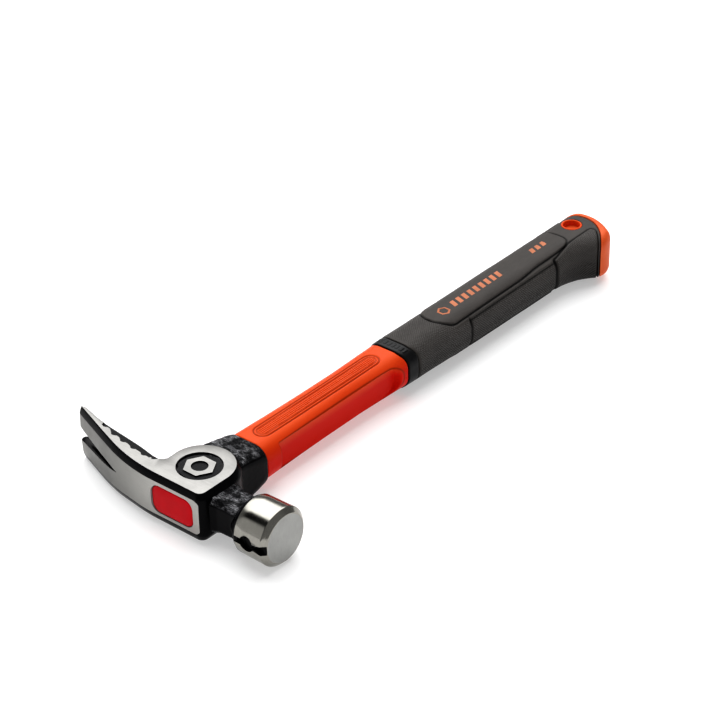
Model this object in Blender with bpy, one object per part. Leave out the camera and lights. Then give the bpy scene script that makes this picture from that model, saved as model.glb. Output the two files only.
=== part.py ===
"""Claw hammer, 20 oz rip pattern, lying on its cheek. One object for each piece of the assembly.

+X points to the striking face, +Y along the handle to the butt, +Z up through the cheeks.
The origin is the centre of the bounding box's underside. The drawing inside the functions is in
millimetres about the head's own datum: x = 0 and z = 0 on the handle's axis, y = 0 at the centre
of the round cheek recess. place() carries it to the frame in metres.
"""

import math

import bmesh
import bpy
from mathutils import Vector

MM = 0.001
GAP = 0.3

# Head
CHEEK_HALF = 13.75
POLISHED_HALF = 9.9
CHEEK_TOP_Y = -17.8
TOP_FACE_RISE = 1.2
CHEEK_ROUND_CENTRE = (0.2, 1.3)
CHEEK_ROUND_RADIUS = 17.1
CHEEK_POLL_SIDE_X = 17.2
CLAW_BEND_START_X = -13.0
CLAW_BEND_RADIUS = 102.0
CLAW_BEND_ANGLE = math.radians(20.0)
CLAW_TIP_X = -84.0
SLOT_END_X = -43.0
SLOT_HALF_AT_TIP = 3.9
SPREAD_START_X = -28.0
SPREAD_END_X = -62.0
TINE_SPREAD = 1.65
TINE_SHIFT_X = 1.7
TINE_SHIFT_Y = -1.95
SPREAD_CUTS = 9
CHEEK_CORNER_RADIUS = 3.2
RECESS_RADIUS = 11.7
RECESS_DEPTH = 0.9
SOCKET_END_Y = 33.7
POLL_AXIS_Y = -4.05
POLL_RADIUS = 15.56
POLL_REAR_RADIUS = 15.2
FACE_RADIUS = 13.0
FACE_X = 58.4
CHAMFER_X = 55.8
POLL_REAR_X = 39.0
NECK_HALF = 9.3
GROOVE_FLOOR_Y = POLL_AXIS_Y - 12.9
CHANNEL_HALF = 1.7
MOUTH_HALF = 2.1
SEAT_RADIUS = 4.2
MAGNET_X = 47.0
MAGNET_RADIUS = 2.6
MAGNET_LENGTH = 4.0

# Handle
EYE_CENTRE_X = -1.0
EYE_CORNER_RADIUS = 5.0
CORE_HALF_X = 9.6
CORE_HALF_Z = 6.4
CORE_RADIUS = 6.0
CORE_TOP_Y = -13.5
CORE_END_Y = 291.0
PLUG_DEPTH = 4.3
COLLAR_START_Y = 140.5
COLLAR_END_Y = 148.5
BUTT_Y = 322.0
RIM_FRONT_Y = 318.0
HOLE_Y = 306.0
HOLE_RADIUS = 4.75
EYELET_RADIUS = 6.05
BOW_CENTRE_X = 1.5
BOW = 0.033
BUTT_BOW_SHARE = 0.75
BOW_START_Y = 262.0

# Outer sections of the handle: y, width to -X, width to +X, half-height, corner radius at -X and at +X
JACKET_STATIONS = (
    (SOCKET_END_Y + GAP, 13.3, 13.4, 10.9, 8.6, 8.6),
    (46.0, 13.2, 13.2, 10.9, 9.0, 9.0),
    (62.0, 12.8, 12.8, 10.8, 9.0, 9.0),
    (80.0, 12.5, 12.5, 10.8, 9.0, 9.0),
    (108.0, 12.4, 12.4, 10.8, 9.0, 9.0),
    (124.0, 12.8, 12.8, 10.9, 9.0, 9.0),
    (140.5, 13.3, 13.5, 11.0, 9.0, 9.0),
)
GRIP_STATIONS = (
    (140.5, 13.7, 13.9, 11.4, 9.2, 9.2),
    (148.5, 13.8, 14.1, 11.6, 9.4, 9.4),
    (164.0, 13.5, 14.2, 11.9, 9.8, 9.8),
    (182.0, 13.4, 14.8, 12.1, 10.0, 10.0),
    (208.0, 13.2, 15.2, 12.2, 10.0, 10.0),
    (244.0, 13.2, 15.4, 12.4, 10.0, 10.0),
    (270.0, 13.2, 15.4, 12.6, 10.0, 10.0),
    (281.0, 13.0, 15.5, 12.8, 10.0, 9.6),
    (286.0, 12.9, 15.9, 12.9, 10.0, 9.0),
    (296.0, 12.7, 17.8, 13.0, 10.0, 8.0),
    (308.5, 12.6, 21.1, 13.2, 10.0, 6.5),
    (314.0, 12.6, 22.8, 13.3, 10.0, 6.0),
    (318.0, 12.6, 24.0, 13.4, 10.0, 5.6),
    (322.0, 12.6, 24.6, 13.5, 9.6, 5.4),
)
UNDER_COLLAR = 2.6
UNDER_GRIP = 3.0
LEAST_CORNER = 1.5
# How far each ring of the rounded butt lies short of its end, and how far in from the rim
BUTT_ROUND = ((2.6, 0.0), (1.4, 0.9), (0.5, 2.7), (0.0, 5.6))

# The frame's origin, in the drawing's millimetres
ORIGIN_X = (FACE_X + CLAW_TIP_X + TINE_SHIFT_X) / 2
ORIGIN_Y = (BUTT_Y + POLL_AXIS_Y - POLL_RADIUS) / 2
ORIGIN_Z = -POLL_RADIUS

ARC_STEPS = 6
FLAT_STEPS = 5
POLL_SIDES = 64


def clear_scene():
    for obj in list(bpy.data.objects):
        bpy.data.objects.remove(obj, do_unlink=True)


def place(point):
    """A drawing point in millimetres, as a frame point in metres."""
    x, y, z = point
    return ((x - ORIGIN_X) * MM, (y - ORIGIN_Y) * MM, (z - ORIGIN_Z) * MM)


def make_material(name, colour, roughness, metallic=0.0):
    material = bpy.data.materials.new(name)
    material.use_nodes = True
    shader = material.node_tree.nodes["Principled BSDF"]
    shader.inputs["Base Color"].default_value = (*colour, 1.0)
    shader.inputs["Roughness"].default_value = roughness
    shader.inputs["Metallic"].default_value = metallic
    material.diffuse_color = (*colour, 1.0)
    return material


def make_object(name, points, faces, material=None):
    mesh = bpy.data.meshes.new(name)
    mesh.from_pydata([place(point) for point in points], [], faces)
    shape = bmesh.new()
    shape.from_mesh(mesh)
    bmesh.ops.recalc_face_normals(shape, faces=shape.faces)
    shape.to_mesh(mesh)
    shape.free()
    if material:
        mesh.materials.append(material)
    mesh.shade_smooth()
    mesh.set_sharp_from_angle(angle=math.radians(35.0))
    obj = bpy.data.objects.new(name, mesh)
    bpy.context.scene.collection.objects.link(obj)
    return obj


def walls(first, second, count):
    """Quads that join two rings of count points, whose first points are numbered first and second."""
    return [
        (first + i, first + (i + 1) % count, second + (i + 1) % count, second + i)
        for i in range(count)
    ]


def loft(name, rings, material=None):
    """A solid through the rings, closed at both ends."""
    count = len(rings[0])
    points = [point for ring in rings for point in ring]
    faces = []
    for i in range(len(rings) - 1):
        faces += walls(i * count, (i + 1) * count, count)
    faces.append(tuple(range(count)))
    faces.append(tuple(range(len(points) - count, len(points))))
    return make_object(name, points, faces, material)


def sleeve(name, outer, inner, material):
    """A tube between two lofts, open right through."""
    count = len(outer[0])
    rings = outer + inner[::-1]
    points = [point for ring in rings for point in ring]
    faces = []
    for i in range(len(rings)):
        faces += walls(i * count, (i + 1) % len(rings) * count, count)
    return make_object(name, points, faces, material)


def arc(centre, radius, start, end, steps):
    """Points along an arc from start to end, both angles in degrees."""
    angles = [math.radians(start + (end - start) * i / steps) for i in range(steps + 1)]
    return [(centre[0] + radius * math.cos(a), centre[1] + radius * math.sin(a)) for a in angles]


def between(start, end, steps):
    """The points that split a straight run into equal steps, without its two ends."""
    return [
        tuple(a + (b - a) * i / steps for a, b in zip(start, end))
        for i in range(1, steps)
    ]


def rounded_section(left, right, half, left_radius, right_radius):
    """A rounded rectangle about the handle's axis, as (x, z) points from the +X side round."""
    corners = (
        (right - right_radius, half - right_radius, right_radius),
        (left_radius - left, half - left_radius, left_radius),
        (left_radius - left, left_radius - half, left_radius),
        (right - right_radius, right_radius - half, right_radius),
    )
    arcs = [arc((x, z), r, 90.0 * i, 90.0 * (i + 1), ARC_STEPS) for i, (x, z, r) in enumerate(corners)]
    top = between(arcs[0][-1], arcs[1][0], FLAT_STEPS)
    bottom = between(arcs[2][-1], arcs[3][0], FLAT_STEPS)
    return arcs[0] + top + arcs[1] + arcs[2] + bottom + arcs[3]


def cut(obj, cutter, operation="DIFFERENCE"):
    """Leaves the cutter in the scene as a hidden guide."""
    cutter.hide_render = True
    cutter.display_type = "WIRE"
    modifier = obj.modifiers.new(cutter.name, "BOOLEAN")
    modifier.operation = operation
    modifier.solver = "EXACT"
    modifier.object = cutter


def prism(name, outline, low, high, axis):
    """An outline pushed along an axis: "Y" takes (x, z) points, "Z" takes (x, y) points."""
    if axis == "Y":
        rings = [[(u, level, v) for u, v in outline] for level in (low, high)]
    else:
        rings = [[(u, v, level) for u, v in outline] for level in (low, high)]
    return loft(name, rings)


def claw_outer(x):
    """The y of the cheek's upper edge: straight over the eye, then the claw's bend, then straight."""
    run = CLAW_BEND_START_X - x
    if run <= 0:
        return CHEEK_TOP_Y
    bend_run = CLAW_BEND_RADIUS * math.sin(CLAW_BEND_ANGLE)
    if run < bend_run:
        return CHEEK_TOP_Y + CLAW_BEND_RADIUS - math.sqrt(CLAW_BEND_RADIUS**2 - run**2)
    bend_rise = CLAW_BEND_RADIUS * (1 - math.cos(CLAW_BEND_ANGLE))
    return CHEEK_TOP_Y + bend_rise + (run - bend_run) * math.tan(CLAW_BEND_ANGLE)


def cheek_outline():
    """(x, y, bevel) points round the flat cheek and claw. bevel is how far the edge below stands out."""
    centre = CHEEK_ROUND_CENTRE
    poll_corner = (CHEEK_POLL_SIDE_X - CHEEK_CORNER_RADIUS, CHEEK_TOP_Y + CHEEK_CORNER_RADIUS)
    corner = arc(poll_corner, CHEEK_CORNER_RADIUS, -75.0, 0.0, 3)
    outline = [(x, y, TOP_FACE_RISE + 0.4 * i) for i, (x, y) in enumerate(corner)]
    outline += [(x, y, 2.4) for x, y in arc(centre, CHEEK_ROUND_RADIUS, -5.0, 187.0, 20)]
    outline += [(x, y, 1.2) for x, y in arc((-21.6, -4.0), 4.4, -10.0, -80.0, 4)]
    inner_edge = ((-27.0, -7.4), (-34.0, -5.9), (-43.0, -4.7), (-52.0, -3.5), (-60.0, -2.5), (-68.0, -1.3))
    outline += [(x, y, 0.7) for x, y in inner_edge]
    tip_y = claw_outer(CLAW_TIP_X)
    outline += [(-75.5, 0.6, 0.5), (-80.6, 1.8, 0.3), (CLAW_TIP_X + 0.4, tip_y + 0.9, 0.0)]
    outline += [(CLAW_TIP_X, tip_y + 0.1, 0.0), (CLAW_TIP_X + 1.4, claw_outer(CLAW_TIP_X + 1.4), 0.9)]
    tip_to_bend = [-76.0, -68.0, -60.0, -52.0]
    bend = [-48.0 + 5.0 * i for i in range(8)]
    outline += [(x, claw_outer(x), 1.4) for x in tip_to_bend + bend]
    outline += [(-4.0, CHEEK_TOP_Y, TOP_FACE_RISE), (6.0, CHEEK_TOP_Y, TOP_FACE_RISE)]
    return outline


def offset_outline(outline):
    """The outline moved out by each point's bevel, square to the edge there."""
    moved = []
    count = len(outline)
    for i, (x, y, bevel) in enumerate(outline):
        before = outline[i - 1]
        after = outline[(i + 1) % count]
        dx = after[0] - before[0]
        dy = after[1] - before[1]
        length = math.hypot(dx, dy)
        moved.append((x + bevel * dy / length, y - bevel * dx / length))
    return moved


def make_cheeks():
    """The slab of cheeks and claw: flat on both cheeks, with a bevel down to the upper and lower edges."""
    outline = cheek_outline()
    flat = [(x, y) for x, y, _ in outline]
    full = offset_outline(outline)
    levels = (
        (-CHEEK_HALF, flat),
        (-POLISHED_HALF, full),
        (POLISHED_HALF, full),
        (CHEEK_HALF, flat),
    )
    return loft("head", [[(x, y, z) for x, y in ring] for z, ring in levels])


def make_socket():
    """The socket below the cheeks, which narrows to meet the handle's jacket."""
    stations = (
        (2.0, 16.8, 12.6, 5.0),
        (10.0, 16.4, 12.2, 5.5),
        (18.0, 15.8, 11.8, 6.0),
        (25.0, 14.8, 11.5, 6.6),
        (30.0, 13.8, 11.3, 7.2),
        (SOCKET_END_Y, 13.2, 10.9, 7.6),
    )
    rings = []
    for y, half_x, half_z, radius in stations:
        rings.append([(x, y, z) for x, z in rounded_section(half_x, half_x, half_z, radius, radius)])
    return loft("socket_guide", rings)


def make_neck():
    """The square neck with cut corners, between the cheeks and the poll."""
    stations = (
        (8.0, 11.4, 2.6),
        (18.5, 11.2, 2.6),
        (21.5, 9.6, 2.4),
        (32.0, NECK_HALF, 2.4),
        (37.0, NECK_HALF + 0.4, 3.0),
    )
    rings = []
    for x, half, corner in stations:
        side = half - corner
        outline = [(half, side), (side, half), (-side, half), (-half, side)]
        outline += [(-u, -v) for u, v in outline]
        rings.append([(x, POLL_AXIS_Y + u, v) for u, v in outline])
    return loft("neck_guide", rings)


def make_poll():
    """The round striking end: a cone up from the neck, a slightly flared barrel and a bevelled face."""
    profile = (
        (33.0, 9.9),
        (36.2, 12.6),
        (38.2, 14.7),
        (POLL_REAR_X, POLL_REAR_RADIUS),
        (CHAMFER_X, POLL_RADIUS),
        (FACE_X, FACE_RADIUS),
    )
    rings = []
    for x, radius in profile:
        angles = [2 * math.pi * i / POLL_SIDES for i in range(POLL_SIDES)]
        rings.append([(x, POLL_AXIS_Y + radius * math.cos(a), radius * math.sin(a)) for a in angles])
    return loft("poll_guide", rings)


def eye_half(y):
    """(half-width, half-height) of the eye, widest at the head's top, where the plug closes it."""
    share = (y - CHEEK_TOP_Y) / (SOCKET_END_Y - CHEEK_TOP_Y)
    return 13.6 - 2.3 * share, 7.9 + 0.2 * share


def eye_ring(y, inset):
    half_x, half_z = eye_half(y)
    corner = EYE_CORNER_RADIUS - inset
    section = rounded_section(half_x - inset, half_x - inset, half_z - inset, corner, corner)
    return [(x + EYE_CENTRE_X, y, z) for x, z in section]


def groove_outline():
    """(x, z) of the nail-starter groove: a channel, a round seat for the nail's head, out to the face."""
    top = [(POLL_REAR_X - 3.0, CHANNEL_HALF)]
    top += arc((MAGNET_X, 0.0), SEAT_RADIUS, 156.0, 24.0, 6)
    top += [(MAGNET_X + 6.0, CHANNEL_HALF), (FACE_X + 3.0, MOUTH_HALF)]
    return top + [(x, -z) for x, z in top[::-1]]


def tooth_outline():
    """(x, y) of the stepped recess along the claw's inner edge: a corner and a shallow run in each step."""
    corners = ((-59.9, -4.1), (-51.3, -6.5), (-43.8, -8.0), (-36.0, -9.3), (-28.2, -10.3), (-21.4, -10.2))
    points = [(-61.4, -2.7)]
    for (x, y), (next_x, next_y) in zip(corners, corners[1:]):
        points += [(x, y), (x + 2.4, y + 0.7), (next_x - 1.9, next_y + 1.0)]
    return points + [(-19.4, -7.6), (-18.0, 4.0), (-61.4, 4.0)]


def cut_recess(head, side):
    """The round recess of one cheek, with a raised hexagon nut left standing in it."""
    low = side * (CHEEK_HALF - RECESS_DEPTH)
    high = side * (CHEEK_HALF + 2.0)
    levels = sorted((low, high))
    hexagon = [(7.4 * math.cos(math.radians(60 * i)), 7.4 * math.sin(math.radians(60 * i))) for i in range(6)]
    circle = arc((0.0, 0.0), RECESS_RADIUS, 0.0, 352.5, 47)
    ring = prism(f"recess_guide_{side}", circle, *levels, "Z")
    nut = prism(f"nut_guide_{side}", hexagon, levels[0] - 1.0, levels[1] + 1.0, "Z")
    bore = prism(f"nut_bore_guide_{side}", arc((0.0, 0.0), 3.9, 0.0, 345.0, 23), *levels, "Z")
    cut(ring, nut)
    cut(head, ring)
    cut(head, bore)


def make_head(material):
    head = make_cheeks()
    head.data.materials.append(material)
    for piece in (make_socket(), make_neck(), make_poll()):
        cut(head, piece, "UNION")
    eye = loft("eye_guide", [eye_ring(y, 0.0) for y in (-30.0, 44.0)])
    cut(head, eye)
    reach = CLAW_TIP_X - 8.0
    slot_half = SLOT_HALF_AT_TIP * (SLOT_END_X - reach) / (SLOT_END_X - CLAW_TIP_X)
    slot = [(SLOT_END_X, 0.3), (reach, slot_half), (reach, -slot_half), (SLOT_END_X, -0.3)]
    cut(head, prism("slot_guide", slot, -30.0, 20.0, "Y"))
    cut(head, prism("groove_guide", groove_outline(), POLL_AXIS_Y - 30.0, GROOVE_FLOOR_Y, "Y"))
    pocket = arc((MAGNET_X, 0.0), MAGNET_RADIUS + GAP, 0.0, 345.0, 23)
    pocket_floor = GROOVE_FLOOR_Y + MAGNET_LENGTH + GAP
    cut(head, prism("magnet_pocket_guide", pocket, GROOVE_FLOOR_Y - 1.0, pocket_floor, "Y"))
    for side in (-1, 1):
        cut_recess(head, side)
        levels = sorted((side * (CHEEK_HALF - 0.7), side * (CHEEK_HALF + 2.0)))
        cut(head, prism(f"teeth_guide_{side}", tooth_outline(), *levels, "Z"))
    spread_tines(head)
    return head


def spread_share(x):
    """0 at the root of the claw, 1 where the tines are spread fully."""
    share = min(max((SPREAD_START_X - x) / (SPREAD_START_X - SPREAD_END_X), 0.0), 1.0)
    return share * share * (3 - 2 * share)


def spread_tines(head):
    """Bakes the head's cuts, then widens the claw towards its tips, where it also bends a little less."""
    graph = bpy.context.evaluated_depsgraph_get()
    mesh = bpy.data.meshes.new_from_object(head.evaluated_get(graph))
    guides = [modifier.object for modifier in head.modifiers]
    head.modifiers.clear()
    for guide in guides:
        bpy.data.objects.remove(guide, do_unlink=True)
    shape = bmesh.new()
    shape.from_mesh(mesh)
    for i in range(SPREAD_CUTS + 1):
        x = SPREAD_START_X + (SPREAD_END_X - SPREAD_START_X) * i / SPREAD_CUTS
        parts = shape.verts[:] + shape.edges[:] + shape.faces[:]
        bmesh.ops.bisect_plane(shape, geom=parts, plane_co=place((x, 0.0, 0.0)), plane_no=(1.0, 0.0, 0.0))
    bmesh.ops.triangulate(shape, faces=shape.faces[:])
    datum = Vector(place((0.0, 0.0, 0.0)))
    for vert in shape.verts:
        x, _, z = (vert.co - datum) / MM
        share = spread_share(x)
        side = min(max(z / POLISHED_HALF, -1.0), 1.0)
        vert.co += Vector((TINE_SHIFT_X, TINE_SHIFT_Y, TINE_SPREAD * side)) * share * MM
    shape.to_mesh(mesh)
    shape.free()
    head.data = mesh


def make_nail_magnet(material):
    """The disc that holds a nail in the groove, its face level with the groove's floor."""
    disc = arc((MAGNET_X, 0.0), MAGNET_RADIUS, 0.0, 345.0, 23)
    magnet = prism("nail_magnet", disc, GROOVE_FLOOR_Y, GROOVE_FLOOR_Y + MAGNET_LENGTH, "Y")
    magnet.data.materials.append(material)
    return magnet


def make_eye_plug(material):
    """The red cap that closes the eye at the head's top, level with the polished face."""
    top = CHEEK_TOP_Y - TOP_FACE_RISE + 0.25
    levels = ((top, GAP + 0.9), (top + 0.5, GAP), (top + PLUG_DEPTH, GAP))
    return loft("eye_plug", [eye_ring(y, inset) for y, inset in levels], material)


def core_ring(y, grow, centre_x=0.0):
    half_x = CORE_HALF_X + grow
    corner = CORE_RADIUS + grow
    section = rounded_section(half_x, half_x, CORE_HALF_Z + grow, corner, corner)
    return [(x + centre_x, y, z) for x, z in section]


def core_centre(y):
    """The core leans from the handle's axis to the eye's centre inside the head."""
    share = min(max((SOCKET_END_Y - y) / (SOCKET_END_Y - CORE_TOP_Y), 0.0), 1.0)
    return EYE_CENTRE_X * share


def make_core(material):
    """The glass-fibre rod that runs from the eye to just short of the hang hole."""
    levels = ((CORE_TOP_Y, -0.6), (CORE_TOP_Y + 0.8, 0.0), (SOCKET_END_Y, 0.0), (CORE_END_Y, 0.0))
    return loft("fibreglass_core", [core_ring(y, grow, core_centre(y)) for y, grow in levels], material)


def make_epoxy(material):
    """The cast bond that fills the eye round the core."""
    stations = (CORE_TOP_Y, SOCKET_END_Y - GAP)
    outer = [eye_ring(y, GAP) for y in stations]
    inner = [core_ring(y, GAP, core_centre(y)) for y in stations]
    return sleeve("eye_epoxy", outer, inner, material)


def section_at(stations, y):
    """The section's measures at y, read between the two stations around it."""
    if y <= stations[0][0]:
        return stations[0][1:]
    for low, high in zip(stations, stations[1:]):
        if y <= high[0]:
            share = (y - low[0]) / (high[0] - low[0])
            return tuple(a + (b - a) * share for a, b in zip(low[1:], high[1:]))
    return stations[-1][1:]


def bow_at(y):
    """How strongly the ring at y bows: from nothing at BOW_START_Y to BOW at the rim, then easing off."""
    share = min(max((y - BOW_START_Y) / (RIM_FRONT_Y - BOW_START_Y), 0.0), 1.0)
    rim_share = min(max((y - RIM_FRONT_Y) / (BUTT_Y - RIM_FRONT_Y), 0.0), 1.0)
    return BOW * share * share * (3 - 2 * share) * (1 - (1 - BUTT_BOW_SHARE) * rim_share)


def handle_ring(stations, y, inset):
    """One ring of the handle, bowed in plan so that the butt's end is rounded seen from above."""
    left, right, half, left_radius, right_radius = section_at(stations, y)
    corners = [max(radius - inset, LEAST_CORNER) for radius in (left_radius, right_radius)]
    section = rounded_section(left - inset, right - inset, half - inset, *corners)
    return [(x, y - bow_at(y) * (x - BOW_CENTRE_X) ** 2, z) for x, z in section]


def make_jacket(material):
    """The orange moulding over the core: bare to the collar, hidden by the grip, bare again at the rim."""
    levels = [(JACKET_STATIONS, y, 0.0) for y, *_ in JACKET_STATIONS[:-1]]
    levels += [(JACKET_STATIONS, COLLAR_START_Y - GAP, 0.0)]
    levels += [(GRIP_STATIONS, y, UNDER_COLLAR) for y in (COLLAR_START_Y, COLLAR_END_Y - GAP)]
    levels += [(GRIP_STATIONS, y, UNDER_GRIP) for y in (COLLAR_END_Y, 182.0, 208.0, 244.0, 270.0)]
    levels += [(GRIP_STATIONS, y, UNDER_GRIP) for y in (281.0, 288.0, 296.0, 303.0, 310.0)]
    levels += [(GRIP_STATIONS, RIM_FRONT_Y - 0.6, UNDER_GRIP), (GRIP_STATIONS, RIM_FRONT_Y, 0.0)]
    levels += [(GRIP_STATIONS, BUTT_Y - drop, inset) for drop, inset in BUTT_ROUND]
    jacket = loft("handle_jacket", [handle_ring(*level) for level in levels], material)
    eyelet = arc((0.0, HOLE_Y), EYELET_RADIUS, 0.0, 348.75, 31)
    cut(jacket, prism("eyelet_guide", eyelet, -13.3, 13.3, "Z"), "UNION")
    hole = arc((0.0, HOLE_Y), HOLE_RADIUS, 0.0, 348.75, 31)
    cut(jacket, prism("hang_hole_guide", hole, -20.0, 20.0, "Z"))
    bore = loft("core_bore_guide", [core_ring(y, GAP) for y in (SOCKET_END_Y - 5.0, CORE_END_Y + GAP)])
    cut(jacket, bore)
    return jacket


def make_collar(material):
    """The smooth ring between the bare jacket and the grip."""
    levels = (
        (COLLAR_START_Y, 0.4),
        (COLLAR_START_Y + 0.6, 0.0),
        (COLLAR_END_Y - 1.0, 0.0),
        (COLLAR_END_Y - 0.4, 0.5),
    )
    outer = [handle_ring(GRIP_STATIONS, y, inset) for y, inset in levels]
    inner = [handle_ring(GRIP_STATIONS, y, UNDER_COLLAR - GAP) for y, _ in levels]
    return sleeve("grip_collar", outer, inner, material)


def make_grip(material):
    """The soft black sleeve over the jacket, from the collar to the rim, pierced by the hang hole."""
    ys = [COLLAR_END_Y, 150.0, 164.0, 182.0, 208.0, 244.0, 262.0, 272.0, 281.0]
    ys += [286.0, 291.0, 296.0, 302.0, 308.5, 314.0, RIM_FRONT_Y - 1.2]
    insets = [0.8] + [0.0] * (len(ys) - 1)
    outer = [handle_ring(GRIP_STATIONS, y, inset) for y, inset in zip(ys, insets)]
    inner = [handle_ring(GRIP_STATIONS, y, UNDER_GRIP - GAP) for y in ys]
    grip = sleeve("rubber_grip", outer, inner, material)
    clearance = arc((0.0, HOLE_Y), EYELET_RADIUS + GAP, 0.0, 348.75, 31)
    cut(grip, prism("grip_hole_guide", clearance, -20.0, 20.0, "Z"))
    return grip


def main():
    clear_scene()
    make_head(make_material("forged_steel", (0.32, 0.32, 0.33), 0.32, 1.0))
    make_nail_magnet(make_material("nickel_plate", (0.55, 0.55, 0.56), 0.25, 1.0))
    make_eye_plug(make_material("red_plastic", (0.52, 0.01, 0.03), 0.4))
    make_epoxy(make_material("cast_resin", (0.62, 0.5, 0.28), 0.35))
    make_core(make_material("glass_fibre", (0.75, 0.7, 0.5), 0.5))
    make_jacket(make_material("orange_plastic", (0.85, 0.09, 0.015), 0.35))
    make_collar(make_material("black_plastic", (0.02, 0.02, 0.02), 0.4))
    make_grip(make_material("black_rubber", (0.03, 0.03, 0.03), 0.65))


main()
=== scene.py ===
"""Looks of the claw hammer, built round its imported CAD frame.

The head's pieces, the handle and the grip are modelled in the hammer's own drawing, in millimetres:
x = 0 and z = 0 on the handle's axis, y = 0 at the centre of the round cheek recess, +X to the striking
face, +Y to the butt, +Z up through the cheeks. to_frame() carries a drawing point to the frame.
"""

import math

import bmesh
import bpy
import numpy as np
from mathutils import Matrix, Vector, noise


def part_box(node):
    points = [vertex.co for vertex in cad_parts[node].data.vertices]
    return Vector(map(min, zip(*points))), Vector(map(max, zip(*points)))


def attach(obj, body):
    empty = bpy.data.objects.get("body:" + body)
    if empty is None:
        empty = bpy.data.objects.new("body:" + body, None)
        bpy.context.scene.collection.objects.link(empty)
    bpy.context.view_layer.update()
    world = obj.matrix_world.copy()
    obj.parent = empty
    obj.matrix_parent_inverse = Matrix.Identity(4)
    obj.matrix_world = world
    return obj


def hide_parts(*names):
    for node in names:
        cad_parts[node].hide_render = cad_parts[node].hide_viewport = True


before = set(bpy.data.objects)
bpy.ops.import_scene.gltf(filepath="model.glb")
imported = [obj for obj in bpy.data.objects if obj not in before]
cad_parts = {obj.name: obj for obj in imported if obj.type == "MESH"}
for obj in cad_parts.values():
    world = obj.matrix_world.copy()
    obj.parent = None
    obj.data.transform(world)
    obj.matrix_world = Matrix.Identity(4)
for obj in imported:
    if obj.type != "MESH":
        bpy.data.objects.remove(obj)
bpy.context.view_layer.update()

MM = 0.001

# The drawing's driving dimensions, as in the CAD
FACE_X = 58.4
CLAW_TIP_X = -84.0
POLL_AXIS_Y = -4.05
POLL_RADIUS = 15.56
CHEEK_HALF = 13.75
POLISHED_HALF = 9.9
CHEEK_TOP_Y = -17.8
SOCKET_END_Y = 33.7
COLLAR_START_Y = 140.5
COLLAR_END_Y = 148.5
RIM_FRONT_Y = 318.0
BUTT_Y = 322.0
HOLE_Y = 306.0
HOLE_RADIUS = 4.75
EYELET_RADIUS = 6.05
EYELET_HALF_Z = 13.28
EYE_CENTRE_X = -1.0

head_low, head_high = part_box("head")
DATUM = np.array(
    (
        head_high.x - FACE_X * MM,
        head_low.y + (POLL_RADIUS - POLL_AXIS_Y) * MM,
        (head_low.z + head_high.z) / 2,
    )
)


def to_frame(points):
    """Drawing points in millimetres, as frame points in metres."""
    return np.asarray(points, float) * MM + DATUM


# ---------------------------------------------------------------- small helpers


def smooth(low, high, value):
    """0 below low, 1 above high, and a smooth rise between."""
    share = np.clip((value - low) / (high - low), 0.0, 1.0)
    return share * share * (3 - 2 * share)


def bump_line(distance, width):
    """1 on a line and 0 away from it, for a groove or a ridge of that width."""
    return np.exp(-((distance / (0.5 * width)) ** 2))


def stadium(x, y, start, end, radius):
    """Signed distance to a stadium along y from start to end, with round ends."""
    reach = y - np.clip(y, start + radius, end - radius)
    return np.hypot(x, reach) - radius


def rounded_box(x, y, half_x, start, end, radius):
    """Signed distance to a box about x = 0, from start to end along y, with round corners."""
    middle = 0.5 * (start + end)
    across = np.abs(x) - half_x + radius
    along = np.abs(y - middle) - 0.5 * (end - start) + radius
    outside = np.hypot(np.maximum(across, 0.0), np.maximum(along, 0.0))
    return outside + np.minimum(np.maximum(across, along), 0.0) - radius


def arc(centre, radius, start, end, steps):
    """Points round a centre from one angle to another, in degrees."""
    angles = np.radians(np.linspace(start, end, steps + 1))
    return np.stack([centre[0] + radius * np.cos(angles), centre[1] + radius * np.sin(angles)], 1)


def catmull_rom(points, per_span):
    """A smooth open curve through the points."""
    points = np.asarray(points, float)
    padded = np.vstack([2 * points[0] - points[1], points, 2 * points[-1] - points[-2]])
    steps = np.linspace(0.0, 1.0, per_span, endpoint=False)[:, None]
    spans = []
    for a, b, c, d in zip(padded, padded[1:], padded[2:], padded[3:]):
        bend = (2 * a - 5 * b + 4 * c - d) * steps**2 + (3 * b - a - 3 * c + d) * steps**3
        spans.append(0.5 * (2 * b + (c - a) * steps + bend))
    return np.vstack(spans + [points[-1:]])


def resample(points, count):
    """A closed curve's points spread evenly along its length."""
    points = np.vstack([points, points[:1]])
    lengths = np.hypot(*np.diff(points, axis=0).T[:2])
    travel = np.concatenate([[0.0], np.cumsum(lengths)])
    wanted = np.linspace(0.0, travel[-1], count, endpoint=False)
    return np.stack([np.interp(wanted, travel, points[:, i]) for i in range(points.shape[1])], 1)


def link_new(name, data):
    """An object of that data, in the scene."""
    obj = bpy.data.objects.new(name, data)
    bpy.context.scene.collection.objects.link(obj)
    return obj


def finish_mesh(name, mesh, materials, sharp):
    """Turns the faces outward, shades them smooth up to the sharp angle and links the object."""
    shape = bmesh.new()
    shape.from_mesh(mesh)
    bmesh.ops.recalc_face_normals(shape, faces=shape.faces)
    shape.to_mesh(mesh)
    shape.free()
    for material in materials:
        mesh.materials.append(material)
    mesh.shade_smooth()
    mesh.set_sharp_from_angle(angle=math.radians(sharp))
    return link_new(name, mesh)


def make_mesh(name, points, faces, materials=(), indices=None, sharp=35.0):
    """An object from drawing points and faces, with a material index for each face where given."""
    mesh = bpy.data.meshes.new(name)
    mesh.from_pydata(to_frame(points).tolist(), [], faces)
    if indices is not None:
        mesh.polygons.foreach_set("material_index", np.asarray(indices, np.int32))
    return finish_mesh(name, mesh, materials, sharp)


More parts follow.
